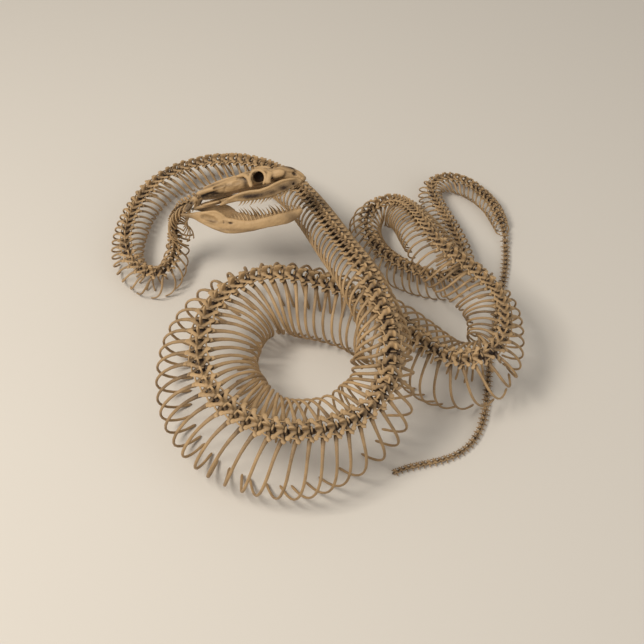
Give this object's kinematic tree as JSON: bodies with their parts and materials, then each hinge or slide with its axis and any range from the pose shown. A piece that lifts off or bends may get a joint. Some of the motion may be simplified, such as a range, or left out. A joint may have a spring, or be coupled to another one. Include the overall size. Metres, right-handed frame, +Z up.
{
  "type": "python skeleton",
  "caption": "Life-size snake skeleton lying in loose coils, head raised with open jaws, with toothed jaw bones, ribbed body lengths and a bare tail.",
  "frame": {"origin": "middle of the skeleton's footprint, on the floor that it lies on", "axes": "+Z up, +X towards the snout and the outer loops, -Y towards the big coil at the front"},
  "size_m": [0.3738, 0.3966, 0.1278],
  "materials": {
    "skull_bone": "aged dry bone, satin",
    "spine_bone": "aged dry bone, matt",
    "tail_bone": "aged dry bone, matt"
  },
  "bodies": {
    "root": {"neck_right": "spine_bone", "neck_left": "spine_bone", "trunk_1_right": "spine_bone", "trunk_1_left": "spine_bone", "trunk_2_right": "spine_bone", "trunk_2_left": "spine_bone", "trunk_3_right": "spine_bone", "trunk_3_left": "spine_bone", "trunk_4_right": "spine_bone", "trunk_4_left": "spine_bone", "trunk_5_right": "spine_bone", "trunk_5_left": "spine_bone", "trunk_6_right": "spine_bone", "trunk_6_left": "spine_bone", "trunk_7_right": "spine_bone", "trunk_7_left": "spine_bone", "trunk_8_right": "spine_bone", "trunk_8_left": "spine_bone", "trunk_9_right": "spine_bone", "trunk_9_left": "spine_bone", "trunk_10_right": "spine_bone", "trunk_10_left": "spine_bone", "trunk_11_right": "spine_bone", "trunk_11_left": "spine_bone", "trunk_12_right": "spine_bone", "trunk_12_left": "spine_bone", "trunk_13_right": "spine_bone", "trunk_13_left": "spine_bone", "trunk_14_right": "spine_bone", "trunk_14_left": "spine_bone", "tail_1": "tail_bone", "tail_2": "tail_bone", "cranium": "skull_bone", "maxilla_left": "skull_bone", "maxilla_right": "skull_bone", "palate_left": "skull_bone", "palate_right": "skull_bone", "quadrate_left": "skull_bone", "quadrate_right": "skull_bone", "mandible_left": "skull_bone", "mandible_right": "skull_bone"}
  },
  "joints": []
}
